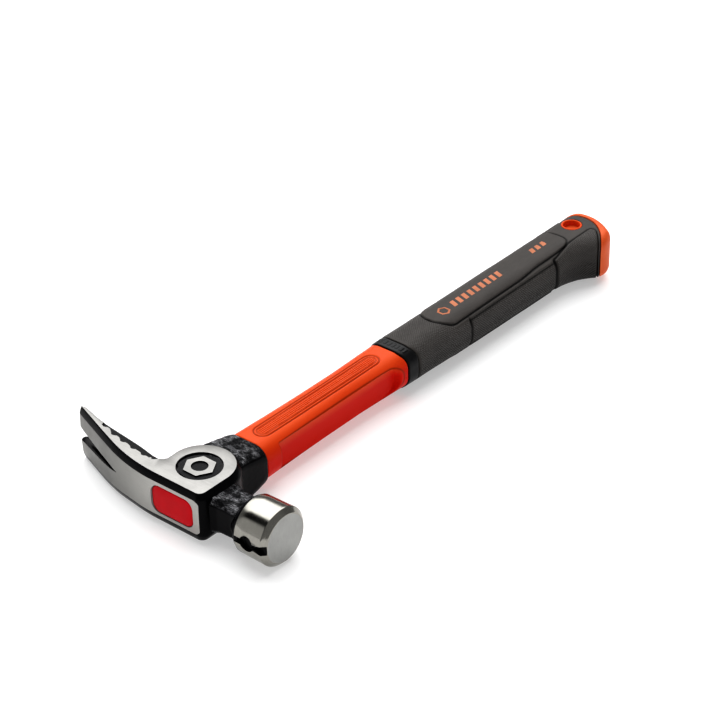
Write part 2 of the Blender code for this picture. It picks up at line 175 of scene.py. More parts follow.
def ring_faces(rows, count):
    """Quads of a skin with that many rings of count points each, and a cap at each end."""
    index = np.arange(rows * count).reshape(rows, count)
    after = np.roll(index, -1, axis=1)
    quads = np.stack([index[:-1], after[:-1], after[1:], index[1:]], axis=-1).reshape(-1, 4)
    return quads.tolist() + [index[0][::-1].tolist(), index[-1].tolist()]


def skin(name, rings, materials=(), indices=None, sharp=35.0):
    """A closed solid through rings of points, given as rows x count x 3."""
    rows, count = rings.shape[:2]
    return make_mesh(name, rings.reshape(-1, 3), ring_faces(rows, count), materials, indices, sharp)


def at_level(outline, level, axis):
    """An outline's points at a level along an axis. Its two columns run along the other two."""
    return np.insert(outline, "XYZ".index(axis), level, axis=1)


def prism(name, outline, low, high, axis="Z", materials=()):
    """An outline pushed along an axis from one level to another."""
    rings = [at_level(outline, level, axis) for level in (low, high)]
    return skin(name, np.stack(rings), materials)


def cut(obj, cutter):
    """Cuts one solid out of another and removes the cutter."""
    modifier = obj.modifiers.new("cut", "BOOLEAN")
    modifier.operation = "DIFFERENCE"
    modifier.solver = "EXACT"
    modifier.object = cutter
    modifier.material_mode = "TRANSFER"
    apply_modifiers(obj)
    bpy.data.objects.remove(cutter, do_unlink=True)


def apply_modifiers(obj):
    """Replaces the mesh by what its modifiers make of it."""
    graph = bpy.context.evaluated_depsgraph_get()
    mesh = bpy.data.meshes.new_from_object(obj.evaluated_get(graph), depsgraph=graph)
    obj.modifiers.clear()
    obj.data = mesh


def join(name, objects):
    """Makes one object of several."""
    joined = objects[0]
    with bpy.context.temp_override(active_object=joined, selected_editable_objects=objects):
        bpy.ops.object.join()
    joined.name = name
    return joined


def use_only(mesh, material):
    """Gives the mesh that one material."""
    mesh.materials.clear()
    mesh.materials.append(material)


def mesh_points(mesh):
    """The mesh's points in the drawing."""
    points = np.empty(len(mesh.vertices) * 3, np.float32)
    mesh.vertices.foreach_get("co", points)
    return (points.reshape(-1, 3) - DATUM) / MM


def move_points(mesh, points):
    """Puts the mesh's points at these drawing points."""
    mesh.vertices.foreach_set("co", to_frame(points).astype(np.float32).ravel())


def set_values(mesh, name, values):
    """Stores one number for each point of the mesh, which a material reads by its name."""
    values = values.astype(np.float32).ravel()
    mesh.attributes.new(name, "FLOAT", "POINT").data.foreach_set("value", values)


def ready(obj, node):
    """The piece rides on the one body and stands for its CAD node, which it hides."""
    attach(obj, "root")
    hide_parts(node)


# ---------------------------------------------------------------- materials


class Nodes:
    """A short way to write a material's node tree."""

    def __init__(self, name, colour, roughness, metallic=0.0, **fixed):
        self.material = bpy.data.materials.new(name)
        self.material.use_nodes = True
        self.tree = self.material.node_tree
        self.shader = self.tree.nodes["Principled BSDF"]
        self.shader.inputs["Base Color"].default_value = (*colour, 1.0)
        self.shader.inputs["Roughness"].default_value = roughness
        self.shader.inputs["Metallic"].default_value = metallic
        for socket, value in fixed.items():
            self.shader.inputs[socket.replace("_", " ")].default_value = value
        self.where = self.add("ShaderNodeTexCoord").outputs["Object"]
        self.material.diffuse_color = (*colour, 1.0)

    def add(self, kind, **values):
        node = self.tree.nodes.new(kind)
        for key, value in values.items():
            setattr(node, key, value)
        return node

    def link(self, source, target):
        self.tree.links.new(source, target)

    def scaled(self, scale):
        """Coordinates in units of scale millimetres, one number or one for each axis."""
        mapping = self.add("ShaderNodeMapping")
        mapping.inputs["Scale"].default_value = (1.0 / (np.broadcast_to(scale, 3) * MM)).tolist()
        self.link(self.where, mapping.inputs["Vector"])
        return mapping.outputs["Vector"]

    def rise(self, axis, start, end, at_start=0.0, at_end=1.0):
        """A change from one value to another between two places along a drawing axis, "X" or "Z"."""
        place = self.add("ShaderNodeSeparateXYZ")
        self.link(self.where, place.inputs["Vector"])
        datum = DATUM["XYZ".index(axis)]
        start, end = (float(datum + place_mm * MM) for place_mm in (start, end))
        return self.remap(place.outputs[axis], start, end, at_start, at_end)

    def noise(self, scale, detail=3.0, rough=0.55):
        node = self.add("ShaderNodeTexNoise")
        node.inputs["Scale"].default_value = 1.0
        node.inputs["Detail"].default_value = detail
        node.inputs["Roughness"].default_value = rough
        self.link(self.scaled(scale), node.inputs["Vector"])
        return node.outputs["Fac"]

    def cells(self, scale, feature="F1"):
        node = self.add("ShaderNodeTexVoronoi", feature=feature)
        node.inputs["Scale"].default_value = 1.0
        self.link(self.scaled(scale), node.inputs["Vector"])
        return node.outputs["Distance"]

    def attribute(self, name):
        return self.add("ShaderNodeAttribute", attribute_name=name).outputs["Fac"]

    def math(self, operation, first, second=0.0, clamp=False):
        node = self.add("ShaderNodeMath", operation=operation, use_clamp=clamp)
        for socket, value in zip(node.inputs, (first, second)):
            if isinstance(value, (int, float)):
                socket.default_value = value
            else:
                self.link(value, socket)
        return node.outputs[0]

    def remap(self, value, low, high, to_low=0.0, to_high=1.0):
        node = self.add("ShaderNodeMapRange", clamp=True)
        names = ("From Min", "From Max", "To Min", "To Max")
        for name, number in zip(names, (low, high, to_low, to_high)):
            node.inputs[name].default_value = number
        self.link(value, node.inputs["Value"])
        return node.outputs["Result"]

    def mix(self, share, first, second):
        """A colour between two colours, each a triple or a socket."""
        node = self.add("ShaderNodeMix", data_type="RGBA")
        self.link(share, node.inputs["Factor"])
        for socket, value in zip((node.inputs[6], node.inputs[7]), (first, second)):
            if isinstance(value, tuple):
                socket.default_value = (*value, 1.0)
            else:
                self.link(value, socket)
        return node.outputs[2]

    def bump(self, height, distance, onto=None):
        """Adds a height of that many millimetres, over an earlier bump where one is given."""
        node = self.add("ShaderNodeBump")
        node.inputs["Distance"].default_value = distance * MM
        self.link(height, node.inputs["Height"])
        if onto is not None:
            self.link(onto, node.inputs["Normal"])
        return node.outputs["Normal"]

    def set(self, **sockets):
        for name, source in sockets.items():
            self.link(source, self.shader.inputs[name.replace("_", " ")])
        return self.material


def ground_steel(name, light, dark, grain, roughness, scratch=0.004, burnish=False):
    """Steel ground bright: long fine grain lines, a few stray scratches and soft clouding.

    Where asked, the colour is also painted lighter beside the eye and darker along the claw. This is
    painted highlight and painted shade for how the bent top catches the light, not a different finish.
    """
    nodes = Nodes(name, light, roughness, 1.0)
    lines = nodes.noise(grain, 4.0, 0.7)
    clouds = nodes.noise(9.0, 3.0, 0.6)
    stray = nodes.cells([12 * g for g in grain], "DISTANCE_TO_EDGE")
    fine, wide = nodes.math("MULTIPLY", lines, 0.6), nodes.math("MULTIPLY", clouds, 0.4)
    shade = nodes.math("ADD", fine, wide)
    colour = nodes.mix(nodes.remap(shade, 0.3, 0.7), dark, light)
    # painted shade and highlight: the top's colour dims to 0.3 of itself along the claw and brightens to
    # 1.25 beside the eye
    if burnish:
        painted_dim = tuple(0.3 * channel for channel in light)
        bright = tuple(1.25 * channel for channel in light)
        run = nodes.mix(nodes.rise("X", -52.0, -14.0), painted_dim, bright)
        colour = nodes.mix(nodes.remap(lines, 0.3, 0.7, 0.55, 0.8), colour, run)
    rough = nodes.remap(shade, 0.3, 0.7, roughness + 0.08, roughness - 0.06)
    normal = nodes.bump(lines, scratch)
    normal = nodes.bump(nodes.remap(stray, 0.0, 0.03), 0.5 * scratch, onto=normal)
    return nodes.set(Base_Color=colour, Roughness=rough, Normal=normal)


def black_enamel():
    """Black paint over a forging: glossy and wavy, with worn pale flecks where 'rough' is set."""
    nodes = Nodes("black_enamel", (0.003, 0.003, 0.004), 0.3, Specular_IOR_Level=0.1)
    rough_share = nodes.attribute("rough")
    orange_peel = nodes.noise(1.6, 2.0)
    pits = nodes.noise(0.5, 6.0, 0.7)
    strokes = nodes.noise((2.6, 0.22, 2.0), 5.0, 0.65)
    patches = nodes.noise(5.0, 3.0, 0.6)
    worn = nodes.math("MULTIPLY", nodes.remap(strokes, 0.47, 0.6), nodes.remap(patches, 0.44, 0.6))
    flecks = nodes.remap(pits, 0.52, 0.68, 0.0, 0.9)
    flecks = nodes.math("MULTIPLY", flecks, nodes.remap(patches, 0.4, 0.6, 0.2, 1.0))
    pale = nodes.math("MULTIPLY", nodes.math("MAXIMUM", worn, flecks), rough_share, clamp=True)
    colour = nodes.mix(pale, (0.003, 0.003, 0.004), (0.48, 0.48, 0.5))
    roughness = nodes.remap(rough_share, 0.0, 1.0, 0.22, 0.55)
    normal = nodes.bump(orange_peel, 0.05)
    coarse = nodes.math("MULTIPLY", nodes.math("ADD", pits, strokes), rough_share)
    normal = nodes.bump(coarse, 0.35, onto=normal)
    return nodes.set(Base_Color=colour, Roughness=roughness, Normal=normal)


def recess_black():
    """The floor of the pressed recesses: black paint over a fine, pitted strike."""
    nodes = Nodes("recess_black", (0.008, 0.008, 0.009), 0.5, Specular_IOR_Level=0.2)
    pits = nodes.cells(0.55)
    grain = nodes.noise(0.3, 4.0, 0.7)
    colour = nodes.mix(nodes.remap(grain, 0.5, 0.75), (0.006, 0.006, 0.007), (0.035, 0.035, 0.038))
    return nodes.set(Base_Color=colour, Normal=nodes.bump(pits, 0.12, onto=nodes.bump(grain, 0.1)))


def moulded_plastic(name, colour, deep, roughness, tint=(1.0, 1.0, 1.0), low=None):
    """Moulded plastic: a very fine pebble, faint flow marks, and painted shade in creases and grooves: a
    darker colour where the mesh's crease value is set.

    Where low is given, the colour deepens to it down the flanks. This is painted shade too: the same
    plastic, darker on its sides where less light falls.
    """
    nodes = Nodes(name, colour, roughness, Specular_IOR_Level=0.2)
    nodes.shader.inputs["Specular Tint"].default_value = (*tint, 1.0)
    fine = nodes.noise(0.35, 3.0, 0.6)
    flow = nodes.noise((14.0, 40.0, 14.0), 2.0, 0.5)
    shade = nodes.mix(nodes.remap(flow, 0.35, 0.65), deep, colour)
    # painted shade: below z = 10.5 mm the colour deepens to low, for the flanks' lesser light
    if low is not None:
        shade = nodes.mix(nodes.rise("Z", 2.0, 10.5), low, shade)
    # painted shade in creases and grooves, from the mesh's per-point crease value
    shade = nodes.mix(nodes.attribute("painted_crease_shade"), shade, tuple(0.28 * channel for channel in deep))
    rough = nodes.remap(fine, 0.3, 0.7, roughness - 0.04, roughness + 0.06)
    return nodes.set(Base_Color=shade, Roughness=rough, Normal=nodes.bump(fine, 0.012))


DOT_PITCH = 1.55


def soft_rubber():
    """The grip's rubber: satin on the spine, a grid of fine raised dots where 'pad' is set, painted shade
    that darkens it towards its underside, and painted shade in its grooves.
    """
    nodes = Nodes("black_rubber", (0.03, 0.03, 0.031), 0.5, Specular_IOR_Level=0.2)
    pad = nodes.attribute("pad")
    uv = nodes.add("ShaderNodeUVMap", uv_map="around").outputs["UV"]
    split = nodes.add("ShaderNodeSeparateXYZ")
    nodes.link(uv, split.inputs["Vector"])
    turn = 2 * math.pi / DOT_PITCH
    around = nodes.math("SINE", nodes.math("MULTIPLY", split.outputs["X"], turn))
    along = nodes.math("SINE", nodes.math("MULTIPLY", split.outputs["Y"], turn))
    dots = nodes.remap(nodes.math("MULTIPLY", around, along), -0.2, 0.8)
    dots = nodes.math("MULTIPLY", dots, pad)
    fine = nodes.noise(0.25, 4.0, 0.65)
    wear = nodes.noise((7.0, 16.0, 7.0), 4.0, 0.6)
    base = nodes.mix(nodes.remap(wear, 0.35, 0.7), (0.066, 0.06, 0.056), (0.09, 0.082, 0.077))
    # painted shade: the rubber darkens to near black towards its underside, where less light falls
    base = nodes.mix(nodes.rise("Z", -11.0, 9.0, 0.95, 0.0), base, (0.006, 0.006, 0.006))
    colour = nodes.mix(nodes.math("MULTIPLY", dots, 0.7), base, (0.17, 0.165, 0.16))
    # painted shade in the grooves, from the mesh's per-point crease value
    colour = nodes.mix(nodes.attribute("painted_crease_shade"), colour, (0.004, 0.004, 0.004))
    roughness = nodes.remap(wear, 0.3, 0.7, 0.5, 0.62)
    roughness = nodes.math("SUBTRACT", roughness, nodes.math("MULTIPLY", dots, 0.1))
    normal = nodes.bump(fine, 0.02)
    normal = nodes.bump(dots, 0.3, onto=normal)
    return nodes.set(Base_Color=colour, Roughness=roughness, Normal=normal)


def grey(value):
    return (value, value, value)


def make_materials():
    """Every finish by its name. A grain gives the noise's size in millimetres along x, y and z."""
    steel, plastic = ground_steel, moulded_plastic
    across, upright, turned = (7.0, 0.16, 7.0), (8.0, 8.0, 0.14), (0.12, 6.0, 6.0)
    cheek = steel("cheek_steel", (0.31, 0.305, 0.295), (0.23, 0.227, 0.22), across, 0.42)
    # the top steel carries painted shade along the claw and a painted highlight beside the eye
    top = steel("top_steel", (0.34, 0.335, 0.32), (0.26, 0.255, 0.245), upright, 0.34, burnish=True)
    barrel = steel("barrel_steel", (0.35, 0.342, 0.313), (0.27, 0.262, 0.24), turned, 0.16, 0.009)
    face = steel("face_steel", (0.37, 0.37, 0.36), (0.31, 0.31, 0.3), (4.0, 0.12, 3.0), 0.4)
    magnet = steel("magnet_nickel", grey(0.015), grey(0.01), (1.0, 1.0, 0.3), 0.3)
    red = plastic("red_plug", (0.64, 0.002, 0.014), (0.55, 0.002, 0.01), 0.38, (1.0, 0.4, 0.45))
    # flank is painted shade: the orange's colour down its sides, where less light falls
    bright, deep, flank = (0.74, 0.1, 0.02), (0.7, 0.085, 0.015), (0.64, 0.009, 0.002)
    orange = plastic("orange_plastic", bright, deep, 0.38, (1.0, 0.5, 0.3), flank)
    # the rim is the same orange plastic, painted a little paler as sheen and without the flanks' painted
    # shade
    rim = plastic("orange_rim", (0.74, 0.15, 0.05), (0.68, 0.12, 0.035), 0.42, (1.0, 0.7, 0.5))
    return {
        "cheek": cheek,
        "top": top,
        "barrel": barrel,
        "face": face,
        "enamel": black_enamel(),
        "recess": recess_black(),
        "red": red,
        "orange": orange,
        "rim": rim,
        "collar": plastic("collar_plastic", (0.016, 0.016, 0.017), (0.011, 0.011, 0.012), 0.35),
        "rubber": soft_rubber(),
        "print": plastic("orange_print", (0.62, 0.24, 0.13), (0.5, 0.19, 0.1), 0.5),
        "magnet": magnet,
        "resin": plastic("cast_resin", (0.45, 0.3, 0.12), (0.38, 0.24, 0.09), 0.3),
        "fibre": plastic("glass_fibre", (0.6, 0.57, 0.45), (0.5, 0.47, 0.36), 0.5),
    }


# ---------------------------------------------------------------- the head

# The recesses in both cheeks
RECESS_RADIUS = 11.7
RECESS_DEPTH = 0.75
RING_WIDTH = 1.3
RING_DEPTH = 1.3
NUT_RADIUS = 8.4
NUT_BORE_RADIUS = 4.3
TEETH_DEPTH = 0.65

# The claw, its polished top and its nail slot
CLAW_BEND_START_X = -13.0
CLAW_BEND_RADIUS = 102.0
CLAW_BEND_ANGLE = math.radians(20.0)
TOP_FACE_RISE = 1.2
CROWN = 0.45
TIP_INSET = 1.9
TIP_BEVEL = 1.15
SLOT_END_X = -43.0
SLOT_HALF_AT_TIP = 2.9
SPREAD_START_X = -28.0
SPREAD_END_X = -62.0
TINE_SPREAD = 1.65
TINE_SHIFT_X = 1.7
TINE_SHIFT_Y = -1.95
POLISHED_END_X = 16.7
POLISHED_CORNER = 3.8

# The eye, the nail groove and the magnet's pocket
EYE_HALF_X = 13.6
EYE_HALF_Z = 7.9
EYE_CORNER = 5.0
EYE_TOP_Y = CHEEK_TOP_Y - TOP_FACE_RISE - CROWN
GROOVE_FLOOR_Y = POLL_AXIS_Y - 12.9
POCKET_X = 47.0
POCKET_RADIUS = 2.9
POCKET_DEPTH = 4.3

# The forging under the polished faces: y or x, half the width, half the height and the corner
SOCKET_SECTIONS = (
    (-6.0, 15.6, 12.9, 3.0),
    (10.0, 14.6, 12.9, 3.2),
    (18.0, 14.2, 12.5, 4.0),
    (25.0, 14.1, 11.9, 5.2),
    (30.0, 14.0, 11.5, 6.6),
    (SOCKET_END_Y - 0.2, 13.8, 11.1, 7.4),
)
NECK_SECTIONS = (
    (6.0, 12.9, 12.3, 3.2),
    (16.0, 12.4, 11.8, 3.2),
    (19.5, 10.6, 10.2, 2.8),
    (23.0, 9.5, 9.4, 2.6),
    (31.5, 9.2, 9.3, 2.6),
    (37.0, 9.6, 9.6, 3.0),
)
CONE_PROFILE = ((31.0, 8.6), (34.0, 10.6), (36.4, 12.9), (38.0, 14.5), (39.0, 14.9), (41.0, 14.6))
HEEL_SCALE = 0.94
HEEL_HALF = 12.6
FORGING_VOXEL = 0.42
LUMP_SIZE = 1.0 / 0.55
NECK_LUMPS = 0.22
EVEN_LUMPS = 0.03


def claw_outer(x):
    """The y of the cheek's upper edge: straight over the eye, then the claw's bend, then straight."""
    run = np.maximum(CLAW_BEND_START_X - np.asarray(x, float), 0.0)
    bend_run = CLAW_BEND_RADIUS * math.sin(CLAW_BEND_ANGLE)
    curved = np.minimum(run, bend_run)
    rise = CLAW_BEND_RADIUS - np.sqrt(CLAW_BEND_RADIUS**2 - curved**2)
    return CHEEK_TOP_Y + rise + (run - curved) * math.tan(CLAW_BEND_ANGLE)


def cheek_outline(count):
    """The cheek's outline, as rows of x, y, the bevel's width and 1 along the polished top."""
    corner = arc((13.6, CHEEK_TOP_Y + 3.6), 3.6, -90.0, 0.0, 12)
    corner_bevel = np.linspace(TOP_FACE_RISE, 2.3, len(corner))
    round_end = arc((0.2, 1.3), 17.1, -4.0, 186.0, 60)
    inner_fillet = arc((-21.2, -3.4), 4.6, -12.0, -76.0, 10)
    inner_points = [(-25.0, -7.5), (-34.0, -5.8), (-43.0, -4.6), (-52.0, -3.5), (-60.0, -2.5)]
    inner_edge = catmull_rom(inner_points + [(-68.0, -1.3), (-74.5, 0.4)], 6)
    tip_x = CLAW_TIP_X + TIP_INSET
    tip_y = float(claw_outer(tip_x))
    tip_points = [(-76.6, 0.95), (-79.0, 1.45), (-80.7, 1.5)]
    tip = catmull_rom(tip_points + [(tip_x + 0.2, tip_y + 0.4), (tip_x, tip_y + 0.1)], 5)
    tip_bevel = np.interp(tip[:, 0], (tip_x, tip_x + 1.6, -76.6), (TIP_BEVEL, 0.9, 0.8))
    outer_x = np.linspace(tip_x + 0.5, 13.0, 90)
    outer = np.stack([outer_x, claw_outer(outer_x)], 1)
    bevels = (TIP_BEVEL, 1.25, 1.45, TOP_FACE_RISE)
    outer_bevel = np.interp(outer_x, (tip_x, -77.0, -20.0, 0.0), bevels)
    parts = (
        (corner, corner_bevel, np.linspace(1.0, 0.0, len(corner))),
        (round_end, 2.4, 0.0),
        (inner_fillet, 1.2, 0.0),
        (inner_edge, 0.8, 0.0),
        (tip, tip_bevel, 0.0),
        (outer, outer_bevel, 1.0),
    )
    rows = []
    for points, bevel, top in parts:
        bevel = np.broadcast_to(bevel, len(points))
        top = np.broadcast_to(top, len(points))
        rows.append(np.column_stack([points, bevel, top]))
    return resample(np.vstack(rows), count)


def outward(outline):
    """Unit normals of a closed outline that runs counter-clockwise."""
    along = np.roll(outline, -1, axis=0) - np.roll(outline, 1, axis=0)
    along /= np.hypot(along[:, 0], along[:, 1])[:, None]
    return np.stack([along[:, 1], -along[:, 0]], 1)


def polished_half(x):
    """Half the polished top's height at x, with rounded corners beside the poll."""
    run = np.clip((x - POLISHED_END_X) / POLISHED_CORNER + 1.0, 0.0, 1.0)
    return POLISHED_HALF - POLISHED_CORNER * (1 - np.sqrt(1 - run**2))


def make_cheeks(paint):
    """Cheeks and claw as one slab: ground cheeks, black bevels, and the polished and crowned top."""
    outline = cheek_outline(640)
    flat, bevel, top = outline[:, :2], outline[:, 2], outline[:, 3]
    normal = outward(flat)
    # (height, share of the bevel reached, how far the edge's rounding pulls in)
    upper = [
        (CHEEK_HALF, 0.0, 0.25),
        (CHEEK_HALF - 0.07, 0.0, 0.08),
        (CHEEK_HALF - 0.22, 0.03, 0.0),
        (12.8, 0.3, 0.0),
        (11.9, 0.56, 0.0),
        (11.0, 0.79, 0.0),
        (10.3, 0.94, 0.0),
    ]
    middle = [(z, 1.0, 0.0) for z in np.linspace(POLISHED_HALF, -POLISHED_HALF, 17)]
    levels = upper + middle + [(-z, share, pull) for z, share, pull in upper[::-1]]
    rings = []
    for z, share, pull in levels:
        crown = CROWN * max(1 - (z / POLISHED_HALF) ** 2, 0.0) * smooth(0.3, 1.0, bevel) * top
        reach = bevel * share - pull + crown
        ring = np.column_stack([flat + normal * reach[:, None], np.full(len(flat), z)])
        if abs(z) <= POLISHED_HALF:
            ring[:, 2] = z / POLISHED_HALF * np.where(top > 0, polished_half(ring[:, 0]), POLISHED_HALF)
        rings.append(ring)
    cheek, enamel, polished = 0, 1, 2
    shown = (top > 0) & (rings[len(upper)][:, 0] < POLISHED_END_X - 0.05)
    shown &= np.roll(shown, -1)
    indices = []
    for i in range(len(levels) - 1):
        in_band = abs(levels[i][0]) <= POLISHED_HALF and abs(levels[i + 1][0]) <= POLISHED_HALF
        indices += [polished if here and in_band else enamel for here in shown]
    indices += [cheek, cheek]
    materials = [paint["cheek"], paint["enamel"], paint["top"]]
    return skin("head_cheeks", np.stack(rings), materials, indices, 28.0)


def spread_tines(obj):
    """Widens the claw towards its tips, where it also bends a little less, as in the CAD."""
    shape = bmesh.new()
    shape.from_mesh(obj.data)
    for x in np.arange(SPREAD_START_X, CLAW_TIP_X, -2.0):
        parts = shape.verts[:] + shape.edges[:] + shape.faces[:]
        plane = Vector(to_frame((x, 0.0, 0.0)))
        bmesh.ops.bisect_plane(shape, geom=parts, plane_co=plane, plane_no=(1.0, 0.0, 0.0))
    bmesh.ops.dissolve_degenerate(shape, dist=0.001 * MM, edges=shape.edges[:])
    bmesh.ops.triangulate(shape, faces=[face for face in shape.faces if len(face.verts) > 4])
    shape.to_mesh(obj.data)
    shape.free()
    points = mesh_points(obj.data)
    share = smooth(SPREAD_START_X, SPREAD_END_X, points[:, 0])
    side = np.clip(points[:, 2] / POLISHED_HALF, -1.0, 1.0)
    points += np.stack([TINE_SHIFT_X * share, TINE_SHIFT_Y * share, TINE_SPREAD * share * side], 1)
    move_points(obj.data, points)
    obj.data.update()


def slot_cutter(paint):
    """The nail slot: a long V that closes at SLOT_END_X, black inside, with a chamfer at the top."""
    x = SLOT_END_X - np.linspace(0.0, 1.0, 48) ** 1.2 * (SLOT_END_X - CLAW_TIP_X + 4.0)
    share = (SLOT_END_X - x) / (SLOT_END_X - CLAW_TIP_X)
    half = 0.1 + SLOT_HALF_AT_TIP * share**0.85
    round_run = np.clip((-77.5 - x) / 6.8, 0.0, 0.999)
    half += 1.6 * (1 - np.sqrt(1 - round_run**2))
    rings = []
    for depth, widen in ((-3.0, 0.75), (-0.6, 0.5), (1.3, -0.1), (2.4, -0.16), (12.0, 0.5)):
        y = claw_outer(x) - 1.4 + depth
        side = half + widen * smooth(0.0, 0.25, share)
        upper = np.stack([x, y, side], 1)
        lower = np.stack([x, y, -side], 1)[::-1]
        rings.append(np.vstack([upper, lower]))
    return skin("slot_cutter", np.stack(rings), [paint["enamel"]])


def hexagon(radius):
    """A hexagon's corners, by its radius over the corners."""
    return arc((0.0, 0.0), radius, 0.0, 300.0, 5)


def circle(radius, steps=96, centre=(0.0, 0.0)):
    """A closed circle's points."""
    return arc(centre, radius, 0.0, 360.0 * (steps - 1) / steps, steps - 1)


def tooth_outline():
    """The stepped recess along the claw's inner edge: a corner, a short rise and a run in each step."""
    corners = ((-60.6, -4.9), (-52.0, -7.4), (-44.4, -8.9), (-36.4, -10.1), (-28.4, -10.9))
    corners += ((-21.6, -10.5),)
    points = [(-62.6, -4.0)]
    for (x, y), (next_x, next_y) in zip(corners, corners[1:]):
        points += [(x, y), (x + 0.9, y + 0.15), (x + 2.3, y + 0.85), (x + 4.2, y + 0.6)]
        points += [(next_x - 1.8, next_y + 1.1), (next_x - 0.7, next_y + 0.15)]
    points += [(-21.2, -9.8), (-19.9, -8.4), (-18.6, -6.6), (-17.4, -5.6)]
    points += [(-17.0, 3.0), (-62.6, 3.0)]
    return np.array(points)


def cut_recesses(cheeks, paint):
    """Both cheeks: a round recess round a raised hexagon nut, and the stepped recess on the claw."""
    black, pitted = [paint["enamel"]], [paint["recess"]]
    for side in (-1, 1):
        low, high = cheek_levels(side, RECESS_DEPTH)
        recess = prism("recess_cutter", circle(RECESS_RADIUS), low, high, materials=pitted)
        cut(recess, prism("nut_keep", hexagon(NUT_RADIUS), low - 1, high + 1, materials=black))
        cut(cheeks, recess)
        ring_low, ring_high = cheek_levels(side, RING_DEPTH)
        ring = prism("ring_cutter", circle(RECESS_RADIUS), ring_low, ring_high, materials=black)
        kept = circle(RECESS_RADIUS - RING_WIDTH)
        cut(ring, prism("ring_keep", kept, ring_low - 1, ring_high + 1, materials=black))
        cut(cheeks, ring)
        cut(cheeks, prism("nut_bore", circle(NUT_BORE_RADIUS, 48), low, high, materials=pitted))
        levels = cheek_levels(side, TEETH_DEPTH)
        cut(cheeks, prism("teeth_cutter", tooth_outline(), *levels, materials=pitted))


def cheek_levels(side, depth):
    """The two levels, lower first, of a cutter that goes to that depth in the cheek on that side."""
    return sorted((side * (CHEEK_HALF - depth), side * (CHEEK_HALF + 2.0)))


def rounded_rectangle(half_x, half_z, radius, steps=8, centre_x=0.0):
    """A rectangle's outline with round corners."""
    arcs = []
    for side_x, side_z, start in ((1, 1, 0), (-1, 1, 90), (-1, -1, 180), (1, -1, 270)):
        centre = (centre_x + side_x * (half_x - radius), side_z * (half_z - radius))
        arcs.append(arc(centre, radius, start, start + 90, steps))
    return np.vstack(arcs)


def eye_rings(levels):
    """Rings of the eye at (y, how far in from the eye's edge)."""
    rings = []
    for y, inset in levels:
        halves = (EYE_HALF_X - inset, EYE_HALF_Z - inset)
        outline = rounded_rectangle(*halves, EYE_CORNER - inset, 10, EYE_CENTRE_X)
        rings.append(at_level(outline, y, "Y"))
    return np.stack(rings)


def make_plug(paint):
    """The red cap in the eye: slightly domed, with a soft rounded rim."""
    # (depth below the head's top, how far in from the eye's edge)
    profile = [(4.2, 0.12), (0.85, 0.12), (0.6, 0.2), (0.45, 0.42), (0.36, 0.8)]
    profile += [(0.225, 1.8), (0.135, 2.8), (0.081, 3.8), (0.06, 4.7)]
    levels = [(EYE_TOP_Y + depth, inset) for depth, inset in profile]
    return skin("eye_plug_cap", eye_rings(levels), [paint["red"]], sharp=50.0)


def head_forging(paint):
    """The painted forging: neck, cone and socket, grown into one soft-edged body."""
    socket = [at_level(rounded_rectangle(*size), y, "Y") for y, *size in SOCKET_SECTIONS]
    neck = []
    for x, half_y, half_z, corner in NECK_SECTIONS:
        u, v = half_y - corner, half_z - corner
        outline = np.array([(half_y, v), (u, half_z), (-u, half_z), (-half_y, v)])
        neck.append(at_level(np.vstack([outline, -outline]) + (POLL_AXIS_Y, 0.0), x, "X"))
    heel = prism("heel", cheek_outline(160)[:, :2] * HEEL_SCALE, -HEEL_HALF, HEEL_HALF)
    solids = [skin("socket", np.stack(socket)), skin("neck", np.stack(neck))]
    solids += [skin("cone", turned_rings(CONE_PROFILE, 64)), heel]
    claw_side = np.array([(-100.0, -60.0), (-9.0, -60.0), (-9.0, 60.0), (-100.0, 60.0)])
    cut(heel, prism("claw_cut", claw_side, -40, 40))
    top_side = np.array([(-30.0, -60.0), (60.0, -60.0), (60.0, -15.2), (-30.0, -15.2)])
    cut(heel, prism("top_cut", top_side, -40, 40))
    joined = join("head_forging", solids)
    remesh = joined.modifiers.new("remesh", "REMESH")
    remesh.mode = "VOXEL"
    remesh.voxel_size = FORGING_VOXEL * MM
    soften = joined.modifiers.new("soften", "SMOOTH")
    soften.factor = 0.5
    soften.iterations = 10
    apply_modifiers(joined)
    use_only(joined.data, paint["enamel"])
    roughen(joined)
    return joined


def turned_rings(profile, count):
    """Rings about the poll's axis, through rows of x and radius."""
    centre = (POLL_AXIS_Y, 0.0)
    return np.stack([at_level(circle(radius, count, centre), x, "X") for x, radius in profile])


def roughen(obj):
    """The cheek-side faces of neck and socket are uneven, the others nearly smooth."""
    mesh = obj.data
    points = mesh_points(mesh)
    normals = np.array([v.normal for v in mesh.vertices])
    facing = smooth(0.5, 0.85, np.abs(normals[:, 2]))
    neck = smooth(17.0, 19.0, points[:, 0]) * smooth(36.5, 34.0, points[:, 0])
    socket = smooth(9.0, 14.0, points[:, 1]) * smooth(15.5, 12.0, np.abs(points[:, 0]))
    rough = facing * np.maximum(neck, socket)
    lift = np.array([lumps(point) for point in points])
    points += normals * (lift * (EVEN_LUMPS + NECK_LUMPS * rough))[:, None]
    move_points(mesh, points)
    set_values(mesh, "rough", rough)
    mesh.shade_smooth()
    mesh.update()


def lumps(point):
    """Uneven heights about 2 mm across, from -1 to 1."""
    return noise.fractal(Vector(point) / LUMP_SIZE, 1.0, 2.1, 3)


def groove_outline():
    """(x, z) of the nail groove: a channel, a round seat for the nail's head, out to the face."""
    top = [(34.0, 1.7)]
    top += arc((POCKET_X, 0.0), 4.2, 156.0, 24.0, 16).tolist()
    top += [(52.0, 1.65), (53.2, 1.75), (54.6, 2.2), (56.0, 2.45), (FACE_X + 3.0, 2.45)]
    return np.array(top + [(x, -z) for x, z in top[::-1]])


